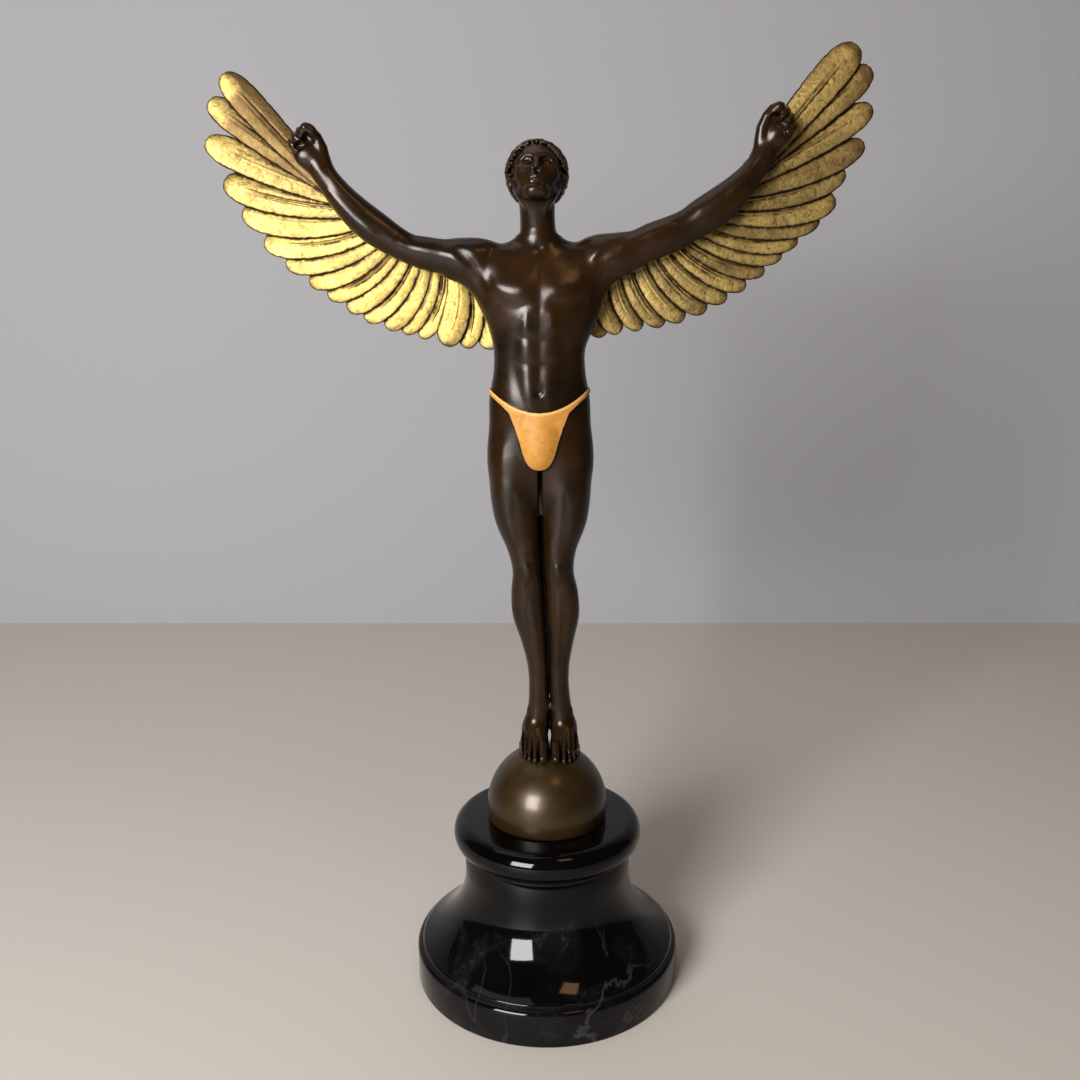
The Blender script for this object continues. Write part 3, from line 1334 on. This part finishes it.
def feather_course(wing, number):
    """Middle line, outward direction and half width of a feather from root to tip."""
    side = wing["side"]
    rx, rz = knotted(wing["roots"], number)
    tx, tz = knotted(wing["tips"], number)
    root = np.array((rx, WING_DEPTH, rz))
    tip = np.array((tx, WING_DEPTH + TIP_BACK * (1 - number / (FEATHERS - 1)), tz))
    chord = tip - root
    inward = np.array((-chord[2], 0, chord[0])) / np.hypot(chord[0], chord[2]) * -side
    bow = -1 + BOW_TURN * smooth_step(number, 0, TUCKED)
    middle = (root + tip) / 2 + inward * BOW * bow
    t = np.linspace(0, 1, ROWS_ALONG)[:, None]
    course = root * (1 - t) ** 2 + 2 * middle * t * (1 - t) + tip * t**2
    course += np.array(wing["tuck"]) * max(0, 1 - number / TUCKED) * (1 - t) ** 4
    along = 2 * (middle - root) * (1 - t) + 2 * (tip - middle) * t
    outward = np.column_stack([-along[:, 2], 0 * along[:, 0], along[:, 0]])
    outward *= side / np.linalg.norm(outward, axis=1, keepdims=True)
    t = t[:, 0]
    half = FEATHER_WIDE + (FEATHER_NARROW - FEATHER_WIDE) * smooth_step(number, 0, 12)
    half *= 1 + WIDTH_WANDER * np.sin(number * 5.3 + side)
    if number == LIFTED and side < 0:
        half = LIFTED_WIDE
    swell = ROOT_SHARE + (1 - ROOT_SHARE) * np.sin(np.minimum(t / ROUND_FROM, 1) * np.pi / 2)
    past = np.maximum(t - ROUND_FROM, 0) / (1 - ROUND_FROM)
    round_end = np.maximum(0, 1 - past ** ROUND_POWERS[0]) ** ROUND_POWERS[1]
    return course, outward, half * swell * round_end, t


def tube_faces(rings, count):
    """Faces of a closed tube from its rings of count points, with its two ends."""
    faces = []
    for low in range(0, (rings - 1) * count, count):
        for c in range(count):
            d = (c + 1) % count
            faces.append((low + c, low + d, low + count + d, low + count + c))
    faces.append(tuple(range(count))[::-1])
    faces.append(tuple((rings - 1) * count + c for c in range(count)))
    return faces


def feather_skin(wing, number):
    """Points, faces, outline and marks of one feather, a thin leaf crowned in front and behind."""
    course, outward, half, t = feather_course(wing, number)
    wander = np.sin(number * 7.31 + wing["side"]) * 0.5
    lifted = number == LIFTED and wing["side"] < 0
    roll = LIFTED_ROLL if lifted else FEATHER_ROLL
    lift = LIFTED_RISE if lifted else 0
    bold = 1 if np.sin(number * 2.6 + 1.2 + wing["side"]) > 0 or number < 2 else 0.2
    u = np.linspace(-1, 1, ROWS_ACROSS)
    across = np.sign(u) * np.abs(u) ** 1.5
    back_across = across[1:-1:4]
    nick = 1 - NICK * np.maximum(0, np.sin(t * (37 + 9 * wander) + number)) ** 6
    width = (half * nick)[:, None]
    x = across[None, :] * width
    fade = np.minimum(1, half / 2.0)[:, None]

    # Front of the leaf: crown, quill between two furrows, a second furrow, and a slow unevenness
    crown = FEATHER_BULGE * (1 - across**2)[None, :] * fade
    quill_end = bold * (1 - smooth_step(t, 0.6 + 0.1 * wander, 0.85)[:, None])
    ridge = QUILL_RISE * np.exp(-((x / QUILL_WIDE) ** 2))
    ridge = ridge - FURROW_DEEP * np.exp(-(((np.abs(x) - QUILL_SIDE) / FURROW_WIDE) ** 2))
    line = smooth_step(t, 0.2, 0.4)[:, None] * (1 - smooth_step(t, 0.7, 0.85)[:, None]) * (wander > 0)
    second = -SECOND_DEEP * np.exp(-(((x - SECOND_LINE * width) / SECOND_WIDE) ** 2)) * line
    swell = SWELL * np.sin(t * 9 + number * 1.7)[:, None] * np.cos(across * 2.2 + wander)[None, :]
    front = crown + (ridge * quill_end + second) * fade + swell * fade + FRONT_THICK * fade
    back = -(BACK_BULGE * (1 - back_across**2))[None, :] * fade - BACK_THICK * fade
    places = []
    for offsets, rise in ((across, front), (back_across[::-1], back[:, ::-1])):
        shift = offsets[None, :] * width
        place = course[:, None, :] + outward[:, None, :] * (shift * np.cos(roll))[..., None]
        place[..., 1] += shift * np.sin(roll) - rise - lift
        places.append(place)
    rings = np.concatenate(places, axis=1)
    outline = np.concatenate([rings[:, 0], rings[::-1, ROWS_ACROSS - 1]])[:, [0, 2]]
    faces = tube_faces(ROWS_ALONG, rings.shape[1])
    if wing["side"] < 0:
        faces = [face[::-1] for face in faces]

    # Marks for the gilding: how far the edge and the quill are, where barbs run, and how brown it is
    length = np.linalg.norm(course[-1] - course[0])
    plain = np.zeros((ROWS_ALONG, len(back_across)))
    rim = np.minimum((1 - np.abs(across))[None, :] * width, ((1 - t) * length)[:, None])
    rim = np.concatenate([rim, (1 - np.abs(back_across))[None, :] * width], axis=1)
    quill = np.abs(np.abs(x) - QUILL_SIDE) + FAR_FROM_QUILL * (1 - quill_end)
    quill = np.minimum(quill, np.abs(x - SECOND_LINE * width) + SECOND_FAINT + FAR_FROM_QUILL * (1 - line))
    quill = np.concatenate([quill, plain + FAR_FROM_QUILL], axis=1)
    barb = BARB_CLOSE * ((t * length)[:, None] - BARB_SLANT * np.abs(np.concatenate([x, plain], axis=1)))
    tone = np.zeros(rim.shape)
    if wing["side"] < 0 and number < len(TOP_BROWN):
        tone += TOP_BROWN[number] * (1 - smooth_step(t, 0.72, 0.98)[:, None])
        if number == 0:
            tone[:, :ROWS_ACROSS] += LEADING_BROWN * smooth_step(across, 0.2, 0.95)[None, :]
    tone += TIP_BROWN * smooth_step(t, 0.88, 1.0)[:, None] * (1 + wander)
    return rings.reshape(-1, 3), faces, outline, {"rim": rim, "quill": quill, "barb": barb, "tone": tone}


BAR_RINGS = 60
BAR_SIDES = 16
BAR_DEPTH = 10.8
BAR_END = 1.02


def edge_bar(wing):
    """The thick edge of the wing behind the arm, that the feathers grow from."""
    numbers = np.linspace(0, FEATHERS - 1, BAR_RINGS)
    places = np.array([knotted(wing["roots"], number) for number in numbers])
    places += np.clip(1 - numbers / TUCKED, 0, 1)[:, None] * np.array(wing["tuck"])[[0, 2]]
    ends = np.linspace(-BAR_END, BAR_END, BAR_RINGS) ** 8
    thick = EDGE_RADIUS * np.sqrt(np.clip(1 - ends, 0.02, 1))
    turns = np.linspace(0, 2 * np.pi, BAR_SIDES, endpoint=False)
    way = np.gradient(places, axis=0)
    way /= np.linalg.norm(way, axis=1, keepdims=True)
    points = []
    for (px, pz), (wx, wz), radius in zip(places, way, thick):
        for turn in turns:
            c, s = np.cos(turn), np.sin(turn)
            points.append((px - wz * radius * c, BAR_DEPTH + radius * s, pz + wx * radius * c))
    return np.array(points), tube_faces(BAR_RINGS, BAR_SIDES)


GILT_PALE = (0.46, 0.335, 0.092)
GILT_WARM = (0.31, 0.22, 0.072)
GILT_BROWN = (0.12, 0.075, 0.026)
PATINA_DARK = (0.035, 0.02, 0.008)


def gilt_bronze(name):
    """Gilding rubbed to brown where the tone is high, with dark patina along edges and quills."""
    gilt, nodes, links, shader = fresh_material(name + " gilt")
    cloud = ramp(nodes, links, noise(nodes, links, 60, 5, 0.6), [(0.3, 0.0), (0.75, 0.8)])
    half_cloud = worked_out(nodes, links, "MULTIPLY", cloud, 0.5)
    tone = worked_out(nodes, links, "ADD", attribute(nodes, "tone"), half_cloud)
    metal = ramp(nodes, links, tone, [(0.1, GILT_PALE), (0.65, GILT_WARM), (1.1, GILT_BROWN)])
    dirt = worked_out(nodes, links, "MULTIPLY_ADD", noise(nodes, links, 210, 5, 1.0), 2.4, -1.1)
    rim_wide = worked_out(nodes, links, "ADD", attribute(nodes, "rim"), dirt)
    rim_dark = ramp(nodes, links, rim_wide, [(0.36, 1.0), (0.98, 0.0)])
    rim_far = worked_out(nodes, links, "MULTIPLY", rim_wide, 0.45)
    rim_soft = ramp(nodes, links, rim_far, [(0.15, 0.6), (0.85, 0.0)])
    quill_wide = worked_out(nodes, links, "ADD", attribute(nodes, "quill"), dirt)
    quill_dark = ramp(nodes, links, quill_wide, [(0.15, 0.9), (0.45, 0.0)])
    specks = ramp(nodes, links, noise(nodes, links, 380, 7, 0.8, 0.7), [(0.5, 0.0), (0.66, 1.0)])
    speck_floor = worked_out(nodes, links, "ADD", tone, 0.42)
    speck_share = worked_out(nodes, links, "MULTIPLY", specks, speck_floor, clamp=True)
    metal = mixed(nodes, links, speck_share, metal, GILT_BROWN)
    metal = mixed(nodes, links, rim_soft, metal, GILT_BROWN)
    metal = mixed(nodes, links, rim_dark, metal, PATINA_DARK)
    metal = mixed(nodes, links, quill_dark, metal, PATINA_DARK)
    links.new(metal, shader.inputs["Base Color"])
    shader.inputs["Metallic"].default_value = 0.85
    satin = ramp(nodes, links, noise(nodes, links, 150, 5), [(0.3, 0.42), (0.8, 0.6)])
    links.new(satin, shader.inputs["Roughness"])
    barb_lines = worked_out(nodes, links, "SINE", attribute(nodes, "barb"))
    grain = noise(nodes, links, 420, 6, 0.3, 0.65)
    chased = worked_out(nodes, links, "MULTIPLY_ADD", barb_lines, 0.018, grain)
    bumped(nodes, links, shader, chased, 0.45, 0.0009)
    return gilt


SHADES = {"right_wing": 0.05, "left_wing": 0.5}
SHADE_WANDER = 0.12
BAR_MARKS = {"rim": 0.6, "quill": 3.0, "tone": 0.8, "barb": 0.0}
COVER_SHARE = 0.8
for name, wing in WINGS.items():
    points, faces, neighbour = [], [], None
    marks = {label: [] for label in BAR_MARKS}
    for number in range(FEATHERS):
        leaf, skin, outline, leaf_marks = feather_skin(wing, number)
        start = sum(len(p) for p in points)
        faces += [tuple(start + i for i in face) for face in skin]
        raised = name == "right_wing" and number == LIFTED
        if neighbour is not None and not raised:
            covered = np.maximum(outline_distance(leaf[:, 0], leaf[:, 2], neighbour), 0) * COVER_SHARE
            covered = covered.reshape(ROWS_ALONG, -1)
            covered[:, ROWS_ACROSS:] = FEATHER_WIDE
            leaf_marks["rim"] = np.minimum(leaf_marks["rim"], covered)
        neighbour = outline
        leaf_marks["tone"] += SHADES[name] + SHADE_WANDER * np.sin(number * 2.3)
        points.append(leaf)
        for label, value in leaf_marks.items():
            marks[label].append(value.ravel())
    bar, skin = edge_bar(wing)
    start = sum(len(p) for p in points)
    faces += [tuple(start + i for i in face) for face in skin]
    points.append(bar)
    for label, value in BAR_MARKS.items():
        marks[label].append(np.full(len(bar), value))
    piece = mesh_object(name + "_feathers", np.concatenate(points), faces, gilt_bronze(name))
    for label, value in marks.items():
        layer = piece.data.attributes.new(label, "FLOAT", "POINT")
        layer.data.foreach_set("value", np.concatenate(value).astype(np.float32))
    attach(piece, "root")
    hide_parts(name)
